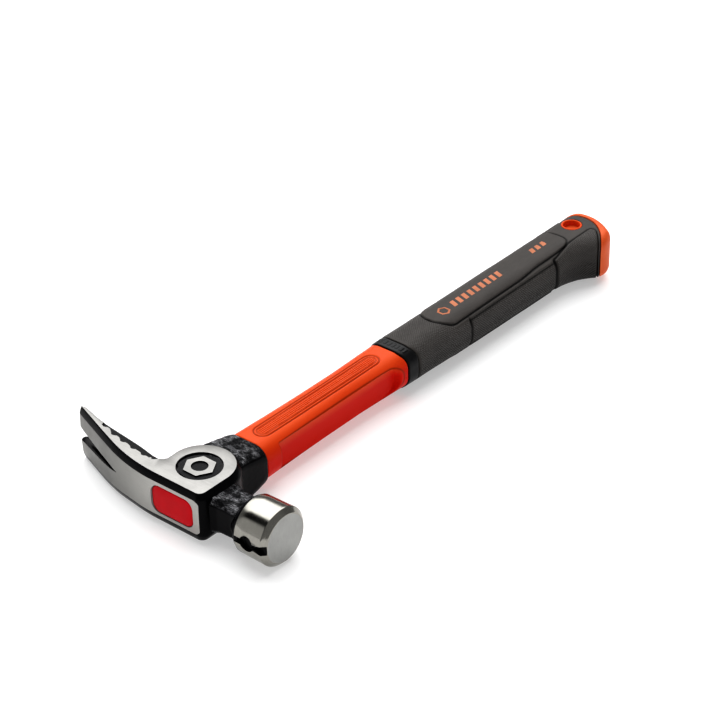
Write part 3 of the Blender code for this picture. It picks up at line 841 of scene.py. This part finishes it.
def make_poll(paint):
    """The striking end: a bright turned barrel, a chamfer and a finely ground face."""
    profile = [(36.0, 12.0), (38.8, 14.0), (38.95, 14.8), (39.1, 15.05), (39.4, 15.2)]
    profile += [(44.0, 15.3), (50.0, 15.42), (55.2, 15.53), (55.75, 15.54)]
    profile += [(56.05, 15.38), (56.4, 15.06), (57.2, 14.24), (58.0, 13.42)]
    profile += [(58.25, 13.14), (58.37, 12.9), (FACE_X, 12.6)]
    count = 160
    indices = [0] * (count * (len(profile) - 1)) + [1, 1]
    materials = [paint["barrel"], paint["face"], paint["enamel"]]
    poll = skin("head_poll", turned_rings(profile, count), materials, indices, 40.0)
    black = [paint["enamel"]]
    above = POLL_AXIS_Y - 30.0
    cut(poll, prism("groove_cutter", groove_outline(), above, GROOVE_FLOOR_Y, "Y", black))
    levels = (GROOVE_FLOOR_Y - 1.0, GROOVE_FLOOR_Y + POCKET_DEPTH)
    pocket = circle(POCKET_RADIUS, 48, (POCKET_X, 0.0))
    cut(poll, prism("pocket_cutter", pocket, *levels, "Y", black))
    return poll


def make_head(paint):
    """The head's three visible pieces and the cap in its eye."""
    cheeks = make_cheeks(paint)
    cut(cheeks, slot_cutter(paint))
    cut_recesses(cheeks, paint)
    levels = [(EYE_TOP_Y - 3.0, -0.25), (EYE_TOP_Y + 0.2, -0.25), (EYE_TOP_Y + 0.5, 0.0), (4.0, 0.0)]
    eye = skin("eye_cutter", eye_rings(levels), [paint["cheek"]])
    cut(cheeks, eye)
    spread_tines(cheeks)
    cheeks.data.set_sharp_from_angle(angle=math.radians(28.0))
    ready(cheeks, "head")
    ready(head_forging(paint), "head")
    ready(make_poll(paint), "head")
    ready(make_plug(paint), "eye_plug")


# ---------------------------------------------------------------- the handle

# y, width to -X, width to +X, half-height, corner radius at -X and at +X
JACKET_STATIONS = np.array(
    [
        (SOCKET_END_Y + 0.3, 13.3, 13.4, 10.9, 8.6, 8.6),
        (46.0, 13.2, 13.2, 10.9, 9.0, 9.0),
        (62.0, 12.8, 12.8, 10.8, 9.0, 9.0),
        (80.0, 12.5, 12.5, 10.8, 9.0, 9.0),
        (108.0, 12.4, 12.4, 10.8, 9.0, 9.0),
        (124.0, 12.8, 12.8, 10.9, 9.0, 9.0),
        (140.5, 13.3, 13.5, 11.0, 9.0, 9.0),
    ]
)
GRIP_STATIONS = np.array(
    [
        (140.5, 13.7, 13.9, 11.4, 9.2, 9.2),
        (148.5, 13.8, 14.1, 11.6, 9.4, 9.4),
        (164.0, 13.5, 14.2, 11.9, 9.8, 9.8),
        (182.0, 13.4, 14.8, 12.1, 10.0, 10.0),
        (208.0, 13.2, 15.2, 12.2, 10.0, 10.0),
        (244.0, 13.2, 15.4, 12.4, 10.0, 10.0),
        (270.0, 13.2, 15.4, 12.6, 10.0, 10.0),
        (281.0, 13.0, 15.5, 12.8, 10.0, 9.6),
        (286.0, 12.9, 15.9, 12.9, 10.0, 9.0),
        (296.0, 12.7, 17.8, 13.0, 10.0, 8.0),
        (308.5, 12.6, 21.1, 13.2, 10.0, 6.5),
        (314.0, 12.6, 22.8, 13.3, 10.0, 6.0),
        (318.0, 12.6, 24.0, 13.4, 10.0, 5.6),
        (322.0, 12.6, 24.6, 13.5, 9.6, 5.4),
    ]
)
BOW_CENTRE_X = 1.5
BOW = 0.033
BUTT_BOW_SHARE = 0.62
BOW_START_Y = 262.0
SWEEP_BACK = 1.0
SWEEP_BACK_FLANK = 1.9


def bow_at(y):
    """How strongly the ring at y bows: most at the rim's front, and less at the butt."""
    share = np.clip((y - BOW_START_Y) / (RIM_FRONT_Y - BOW_START_Y), 0.0, 1.0)
    rim_share = np.clip((y - RIM_FRONT_Y) / (BUTT_Y - RIM_FRONT_Y), 0.0, 1.0)
    return BOW * share * share * (3 - 2 * share) * (1 - (1 - BUTT_BOW_SHARE) * rim_share)


def smooth_stations(stations, y):
    """The section's measures at y, softly rounded where two runs meet."""
    spread = np.array((-3.0, -1.5, 0.0, 1.5, 3.0))
    weights = np.array((1.0, 2.0, 3.0, 2.0, 1.0)) / 9.0
    return np.array(
        [
            sum(w * np.interp(y + s, stations[:, 0], stations[:, i]) for s, w in zip(spread, weights))
            for i in range(1, 6)
        ]
    )


def section(left, right, half, left_radius, right_radius, count):
    """Points (x, z) spread evenly round the section from the middle of its +X side."""
    corners = (
        (right - right_radius, half - right_radius, right_radius, 0.0),
        (left_radius - left, half - left_radius, left_radius, 90.0),
        (left_radius - left, left_radius - half, left_radius, 180.0),
        (right - right_radius, right_radius - half, right_radius, 270.0),
    )
    arcs = [arc((x, z), radius, start, start + 90.0, 24) for x, z, radius, start in corners]
    return resample(np.vstack([[(right, 0.0)], *arcs]), count)


def sweep(stations, ys, insets, count):
    """Rings of the handle at ys, and their outward normals in the section."""
    points, normals = [], []
    for y, inset in zip(ys, insets):
        left, right, half, left_radius, right_radius = smooth_stations(stations, y)
        radii = (max(left_radius - inset, 1.0), max(right_radius - inset, 1.0))
        ring = section(left - inset, right - inset, half - inset, *radii, count)
        points.append(at_level(ring, y, "Y"))
        normals.append(outward(ring))
    return np.stack(points), np.stack(normals)


def lift_along(points, normals, height):
    """The rings' points moved along their normals in the section, then bowed in plan.

    Near the collar every piece is swept back alike, more on the flanks than on the cheek sides.
    """
    moved = points.copy()
    near = smooth(126.0, COLLAR_START_Y, points[..., 1]) * smooth(176.0, 151.0, points[..., 1])
    flank = smooth(7.0, 13.0, np.abs(points[..., 0]))
    moved[..., 1] += near * (SWEEP_BACK + SWEEP_BACK_FLANK * flank)
    moved[..., 0] += normals[..., 0] * height
    moved[..., 2] += normals[..., 1] * height
    moved[..., 1] -= bow_at(points[..., 1]) * (moved[..., 0] - BOW_CENTRE_X) ** 2
    return moved


# The jacket's flutes and its oblong outline
FLUTE_HALF_Z = 8.0
FLUTE_HALF_LENGTH = 46.5
FLUTE_MIDDLE_Y = 91.0
FLUTE_FRONT_CORNER = 1.2
FLUTE_REAR_CORNER = 7.6
FLUTE_HOLLOW = 0.8
FLUTE_FLOOR_X = 9.9
OBLONG_X = 0.5
OBLONG_START_Y = 40.0
OBLONG_END_Y = 132.0
OBLONG_RADIUS = 4.8
OBLONG_STEP = 1.6
LINE_PITCH = 1.2


def jacket_relief(points):
    """(height, painted crease shade) of the jacket's oblong: two outlines and fine lines inside them, with
    the second value darkening their grooves as painted shade.
    """
    x, y = points[..., 0] - OBLONG_X, points[..., 1]
    upper = smooth(9.0, 10.0, np.abs(points[..., 2]))
    edge = stadium(x, y, OBLONG_START_Y, OBLONG_END_Y, OBLONG_RADIUS)
    height = -0.55 * bump_line(edge, 0.95)
    height -= 0.45 * bump_line(edge + OBLONG_STEP, 0.7)
    lines = smooth(-2.0, -2.3, edge) * smooth(0.2, 1.0, np.cos(2 * math.pi * x / LINE_PITCH))
    height -= 0.3 * lines
    # painted shade laid along the oblong's grooves and fine lines
    painted_crease_shade = 0.8 * bump_line(edge, 0.8) + 0.7 * bump_line(edge + OBLONG_STEP, 0.6) + 0.5 * lines
    return height * upper, np.clip(painted_crease_shade, 0.0, 1.0) * upper


def flute_edge(points):
    """Signed distance to the flutes' edge, square at the front end and round at the back."""
    y, z = points[..., 1], points[..., 2]
    corner = np.where(y < FLUTE_MIDDLE_Y, FLUTE_FRONT_CORNER, FLUTE_REAR_CORNER)
    start, end = FLUTE_MIDDLE_Y - FLUTE_HALF_LENGTH, FLUTE_MIDDLE_Y + FLUTE_HALF_LENGTH
    return rounded_box(z, y, FLUTE_HALF_Z, start, end, corner)


def cut_flutes(points):
    """Both sides' flutes: a shallow, slightly hollow trough."""
    edge = flute_edge(points)
    for side in (-1, 1):
        x, z = points[..., 0] * side, points[..., 2]
        slope = 0.6 + 2.0 * smooth(122.0, 136.0, points[..., 1])
        share = smooth(0.1, -1.0, edge / slope) * (x > 5.0)
        floor = FLUTE_FLOOR_X + FLUTE_HOLLOW * (z / FLUTE_HALF_Z) ** 2
        points[..., 0] += side * share * np.minimum(floor - x, 0.0)
    return points


def make_jacket(paint):
    """The bare front of the orange moulding, which runs on under the collar."""
    start, end = SOCKET_END_Y, COLLAR_START_Y - 0.6
    ys = [start, start + 0.1, start + 0.4, *np.arange(start + 0.9, end - 0.1, 0.45)]
    ys += [end, end + 0.2, end + 0.3, end + 0.4, COLLAR_END_Y + 1.5]
    insets = np.zeros(len(ys))
    insets[:2] = (0.5, 0.15)
    insets[-4:] = (0.3, 0.6, 2.6, 2.6)
    points, normals = sweep(JACKET_STATIONS, ys, insets, 340)
    height, painted_crease_shade = jacket_relief(points)
    height[insets > 0] = 0.0
    flank = np.abs(points[..., 0]) > 5.0
    # painted shade: a dark line along the flutes' edge, where the trough drops away
    painted_crease_shade = np.maximum(painted_crease_shade, 0.75 * bump_line(flute_edge(points) + 0.25, 0.8) * flank)
    lifted = lift_along(points, normals, height)
    jacket = skin("jacket_front", cut_flutes(lifted), [paint["orange"]], sharp=60.0)
    set_values(jacket.data, "painted_crease_shade", painted_crease_shade)
    return jacket


RIM_ROUND_Y = 2.9
RIM_ROUND_INSET = 3.6


def make_rim(paint):
    """The jacket's end: the orange rim round the butt, with a softly domed end."""
    ys = [RIM_FRONT_Y + step for step in (-14.0, -0.9, -0.5, -0.35, -0.1, 0.3)]
    insets = [3.2, 3.2, 0.55, 0.2, 0.02, 0.0]
    for angle in np.radians(np.linspace(0.0, 90.0, 12)):
        ys.append(BUTT_Y - RIM_ROUND_Y * (1 - math.sin(angle)))
        insets.append(RIM_ROUND_INSET * (1 - math.cos(angle)))
    ys += [BUTT_Y, BUTT_Y]
    insets += [4.6, 5.4]
    points, normals = sweep(GRIP_STATIONS, ys, insets, 260)
    return skin("butt_rim", lift_along(points, normals, 0.0), [paint["rim"]], sharp=50.0)


def make_eyelet(paint):
    """The jacket's tube through the grip at the hang hole, with rounded lips."""
    lip = [(EYELET_RADIUS, 0.5), (EYELET_RADIUS - 0.15, 0.15), (EYELET_RADIUS - 0.45, 0.0)]
    lip += [(HOLE_RADIUS + 0.45, 0.0), (HOLE_RADIUS + 0.12, 0.15), (HOLE_RADIUS, 0.5)]
    outline = [(radius, EYELET_HALF_Z - depth) for radius, depth in lip]
    outline += [(radius, -z) for radius, z in outline[::-1]]
    steps, count = 96, len(outline)
    turns = np.radians(np.arange(steps) * 360.0 / steps)
    points = [(r * math.cos(a), HOLE_Y + r * math.sin(a), z) for a in turns for r, z in outline]
    index = np.arange(steps * count).reshape(steps, count)
    along, after = np.roll(index, -1, axis=1), np.roll(index, -1, axis=0)
    faces = np.stack([index, along, np.roll(along, -1, axis=0), after], -1).reshape(-1, 4).tolist()
    return make_mesh("hang_eyelet", points, faces, [paint["orange"]], sharp=60.0)


BAR_PITCH = 2.6
BAR_MIDDLE_Y = 144.6


def make_collar(paint):
    """The black collar: soft edges and a row of short raised bars on each cheek side."""
    ys = [COLLAR_START_Y + step for step in (0.5, 0.25, 0.2, 0.3, 0.6)]
    insets = [2.4, 2.4, 0.5, 0.15, 0.0]
    inner = np.arange(COLLAR_START_Y + 1.1, COLLAR_END_Y - 0.9, 0.3).tolist()
    ys += inner + [COLLAR_END_Y - step for step in (0.6, 0.35, 0.2, 0.15, 0.5)]
    insets += [0.0] * len(inner) + [0.08, 0.35, 0.8, 2.4, 2.4]
    points, normals = sweep(GRIP_STATIONS, ys, insets, 420)
    x, y = points[..., 0], points[..., 1]
    bars = smooth(0.3, 0.0, np.abs(x % BAR_PITCH - BAR_PITCH / 2) - 0.62)
    bars *= smooth(0.3, 0.0, np.abs(y - BAR_MIDDLE_Y) - 1.5)
    bars *= smooth(9.3, 8.9, np.abs(x)) * smooth(8.0, 9.0, np.abs(points[..., 2]))
    height = 0.28 * bars
    height[0], height[-1] = 0.0, 0.0
    return skin("collar_ring", lift_along(points, normals, height), [paint["collar"]], sharp=50.0)


# The grip's cheek-side panels and its flank pads, whose upper edge is the rail
RAIL_X = {1: 12.9, -1: -11.0}
PANEL_X = 0.3
PANEL_START_Y = 176.6
PANEL_END_Y = 291.2
MIDDLE_PAD_START_Y = 195.6
MIDDLE_PAD_END_Y = 272.1
MIDDLE_DOTS_Y = 233.7
MIDDLE_DOTS_HALF_LENGTH = 37.2
REAR_PAD_START_Y = 273.6
REAR_PAD_END_Y = 314.2
REAR_PAD_CORNER = 5.0


def grip_relief(points, normals):
    """(height, pad) over the grip: its panels, grooves and pads, and where the dots show."""
    x, y, z = points[..., 0], points[..., 1], points[..., 2]
    panel = rounded_box(x - PANEL_X, y, 10.9, PANEL_START_Y, PANEL_END_Y, 10.2)
    half_x = 9.9 + 1.0 * smooth(262.0, 240.0, y)
    rear_panel = rounded_box(x - PANEL_X, y, half_x, PANEL_START_Y, PANEL_END_Y, 5.5)
    panel = np.where(y > 240.0, rear_panel, panel)
    raised = smooth(0.25, -0.35, panel)
    height = 0.34 * raised - 0.55 * bump_line(panel - 0.55, 1.1)
    pad = smooth(0.9, 1.3, panel) * smooth(196.0, 192.0, y)
    for side, rail in RAIL_X.items():
        across = side * (x - rail)
        beside = side * x > 4.0
        ridge = bump_line(across + 0.35, 0.9) * smooth(181.0, 184.0, y) * smooth(271.5, 270.0, y)
        height += 0.34 * ridge * beside
        mid = np.maximum(-across, np.abs(y - MIDDLE_DOTS_Y) - MIDDLE_DOTS_HALF_LENGTH)
        pad = pad * np.where(beside & (y > 184.0), smooth(0.2, 0.6, across), 1.0)
        pad = np.maximum(pad, smooth(0.0, -0.4, mid) * beside)
        for groove_y in (MIDDLE_PAD_START_Y, MIDDLE_PAD_END_Y):
            height -= 0.65 * bump_line(y - groove_y, 1.4) * smooth(-1.2, 0.2, across) * beside
        along_pad = smooth(195.0, 196.5, y) * smooth(272.0, 270.5, y)
        height -= 0.4 * bump_line(across - 0.55, 0.8) * along_pad * beside
        inner = rail - side * 1.9 * smooth(273.0, 290.0, y)
        above, past = side * (inner - x), y - REAR_PAD_END_Y
        rear = np.maximum(above, np.maximum(REAR_PAD_START_Y - y, past))
        round_above, round_past = above + REAR_PAD_CORNER, past + REAR_PAD_CORNER
        corner = np.hypot(np.maximum(round_above, 0.0), np.maximum(round_past, 0.0)) - REAR_PAD_CORNER
        rear = np.maximum(rear, np.where((round_above > 0) & (round_past > 0), corner, -9.0))
        step = 0.3 * smooth(0.2, -0.5, rear) - 0.5 * bump_line(rear - 0.5, 1.0)
        height += step * beside * (y > REAR_PAD_START_Y - 1.0)
        pad = np.maximum(pad, smooth(-0.6, -1.0, rear) * beside)
    pad *= smooth(150.0, 151.0, y)
    return height, np.clip(pad, 0.0, 1.0)


def make_grip(paint):
    """The rubber sleeve, closed at both ends, pierced for the eyelet."""
    start = [COLLAR_END_Y + step for step in (0.4, 0.25, 0.35, 0.7)]
    middle = np.arange(COLLAR_END_Y + 1.2, RIM_FRONT_Y - 1.9, 0.5).tolist()
    end = [RIM_FRONT_Y - step for step in (1.4, 1.1, 0.95, 1.0)]
    ys = np.array(start + middle + end)
    insets = np.array([2.7, 0.6, 0.25, 0.05] + [0.0] * len(middle) + [0.05, 0.3, 0.6, 2.7])
    points, normals = sweep(GRIP_STATIONS, ys, insets, 300)
    height, pad = grip_relief(points, normals)
    height[insets > 0] = 0.0
    grip = skin("grip_sleeve", lift_along(points, normals, height), [paint["rubber"]], sharp=60.0)
    mesh = grip.data
    set_values(mesh, "pad", pad)
    # painted shade in the grip's grooves, darker where the relief sinks deeper
    set_values(mesh, "painted_crease_shade", np.clip(-height / 0.5, 0.0, 1.0))
    lengths = np.hypot(*np.moveaxis(np.roll(points, -1, axis=1) - points, -1, 0)[[0, 2]])
    around = np.cumsum(lengths, axis=1) - lengths
    flat_uv = np.stack([around, points[..., 1]], -1).reshape(-1, 2)
    corner = np.empty(len(mesh.loops), np.int32)
    mesh.loops.foreach_get("vertex_index", corner)
    uv = flat_uv[corner]
    seam = np.empty(len(mesh.polygons), np.int32)
    mesh.polygons.foreach_get("loop_start", seam)
    for first in seam[: len(seam) - 2]:
        block = uv[first : first + 4]
        if np.ptp(block[:, 0]) > 20.0:
            block[block[:, 0] < 5.0, 0] += np.ptp(flat_uv[:, 0])
    mesh.uv_layers.new(name="around").data.foreach_set("uv", uv.astype(np.float32).ravel())
    hole = prism("hole_cutter", circle(EYELET_RADIUS + 0.12, 96, (0.0, HOLE_Y)), -20.0, 20.0)
    hole.data.materials.append(paint["rubber"])
    cut(grip, hole)
    return grip


# The prints' rows: first y, pitch, count, length, lowest x and highest x
MARK_ROWS = ((196.0, 4.9, 9, 2.9, -2.0, 3.2), (267.0, 5.0, 3, 3.2, -1.9, 2.0))
MARK_SLANT = 0.8
HEXAGON_CENTRE = np.array((1.2, 188.0))
PANEL_LIFT = 0.32


def mark_levels(outline, side):
    """The lower and the upper level of a print, which stands a little proud of the panel."""
    top = np.interp(outline[:, 1].mean(), GRIP_STATIONS[:, 0], GRIP_STATIONS[:, 3]) + PANEL_LIFT
    return sorted((side * (top - 0.3), side * (top + 0.05)))


def make_marks(paint):
    """Plain prints on the grip's spine: a hexagon outline, nine slanted bars and three short ones."""
    outlines = []
    for first, pitch, count, length, low, high in MARK_ROWS:
        for start in first + pitch * np.arange(count):
            outline = [(low, start + MARK_SLANT), (high, start - MARK_SLANT)]
            outline += [(high, start + length - MARK_SLANT), (low, start + length + MARK_SLANT)]
            outlines.append(np.array(outline))
    marks = [prism("bar", outline, *mark_levels(outline, side)) for outline in outlines for side in (-1, 1)]
    for side in (-1, 1):
        outline = hexagon(3.9) + HEXAGON_CENTRE
        low, high = mark_levels(outline, side)
        mark = prism("hexagon", outline, low, high)
        cut(mark, prism("hexagon_hole", hexagon(2.6) + HEXAGON_CENTRE, low - 1, high + 1))
        marks.append(mark)
    joined = join("grip_marks", marks)
    use_only(joined.data, paint["print"])
    return joined


def make_handle(paint):
    """Every visible piece of the handle."""
    ready(make_jacket(paint), "handle_jacket")
    ready(make_rim(paint), "handle_jacket")
    ready(make_eyelet(paint), "handle_jacket")
    ready(make_collar(paint), "grip_collar")
    ready(make_grip(paint), "rubber_grip")
    ready(make_marks(paint), "rubber_grip")


# ---------------------------------------------------------------- stage, light and camera

CAMERA_AT = (662.1, -651.1, 662.0)
CAMERA_RIGHT = (0.7648, 0.6441, -0.0149)
CAMERA_UP = (-0.3365, 0.4190, 0.8433)
CAMERA_LENS = 117.0
SENSOR = 36.0


def make_camera():
    """A long lens that looks down along the handle."""
    data = bpy.data.cameras.new("camera")
    data.lens = CAMERA_LENS
    data.sensor_width = SENSOR
    data.clip_end = 20.0
    camera = link_new("camera", data)
    right = Vector(CAMERA_RIGHT).normalized()
    back = right.cross(Vector(CAMERA_UP)).normalized()
    up = back.cross(right)
    turn = Matrix((right, up, back)).transposed().to_4x4()
    camera.matrix_world = Matrix.Translation(to_frame(CAMERA_AT)) @ turn
    bpy.context.scene.camera = camera


def make_floor():
    """A wide pale sheet that glows a little, as a lit table does, so that shadows on it stay light."""
    size = 4.0
    mesh = bpy.data.meshes.new("floor")
    corners = [(-size, -size, 0), (size, -size, 0), (size, size, 0), (-size, size, 0)]
    mesh.from_pydata(corners, [], [(0, 1, 2, 3)])
    nodes = Nodes("floor_white", (0.66, 0.66, 0.66), 0.7, Emission_Strength=0.31)
    nodes.shader.inputs["Emission Color"].default_value = (1.0, 1.0, 1.0, 1.0)
    mesh.materials.append(nodes.material)
    link_new("floor", mesh)


# Soft studio surroundings: direction, cosine where a patch starts and where it is full, brightness
BASE_LIGHT = 0.22
PATCHES = (
    ((-0.38, 0.33, 0.86), 0.72, 0.86, 2.5),
    ((-0.5, -0.5, 0.7), 0.92, 0.962, 0.008),
    ((-0.55, -0.8, 0.22), 0.86, 0.93, 0.6),
    ((0.85, -0.1, 0.45), 0.55, 0.85, 0.3),
)


def make_world():
    """Soft surroundings: an even base with brighter and darker patches."""
    world = bpy.data.worlds.new("studio")
    bpy.context.scene.world = world
    world.use_nodes = True
    tree = world.node_tree
    background = tree.nodes["Background"]
    where = tree.nodes.new("ShaderNodeTexCoord").outputs["Generated"]
    level = None
    for direction, start, full, value in PATCHES:
        dot = tree.nodes.new("ShaderNodeVectorMath")
        dot.operation = "DOT_PRODUCT"
        tree.links.new(where, dot.inputs[0])
        dot.inputs[1].default_value = Vector(direction).normalized()
        share = tree.nodes.new("ShaderNodeMapRange")
        share.interpolation_type = "SMOOTHSTEP"
        share.inputs["From Min"].default_value = start
        share.inputs["From Max"].default_value = full
        tree.links.new(dot.outputs["Value"], share.inputs["Value"])
        mix = tree.nodes.new("ShaderNodeMix")
        tree.links.new(share.outputs["Result"], mix.inputs["Factor"])
        if level is None:
            mix.inputs["A"].default_value = BASE_LIGHT
        else:
            tree.links.new(level, mix.inputs["A"])
        mix.inputs["B"].default_value = value
        level = mix.outputs["Result"]
    tree.links.new(level, background.inputs["Strength"])
    background.inputs["Color"].default_value = (1.0, 1.0, 1.0, 1.0)


def main():
    """Builds the hammer's looks round the frame."""
    paint = make_materials()
    make_camera()
    make_head(paint)
    make_handle(paint)
    kept = {"nail_magnet": "magnet", "eye_epoxy": "resin", "fibreglass_core": "fibre"}
    for name, finish in kept.items():
        use_only(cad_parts[name].data, paint[finish])
    make_floor()
    make_world()
    bpy.context.scene.view_settings.view_transform = "Standard"
    bpy.context.scene.view_settings.look = "High Contrast"


main()
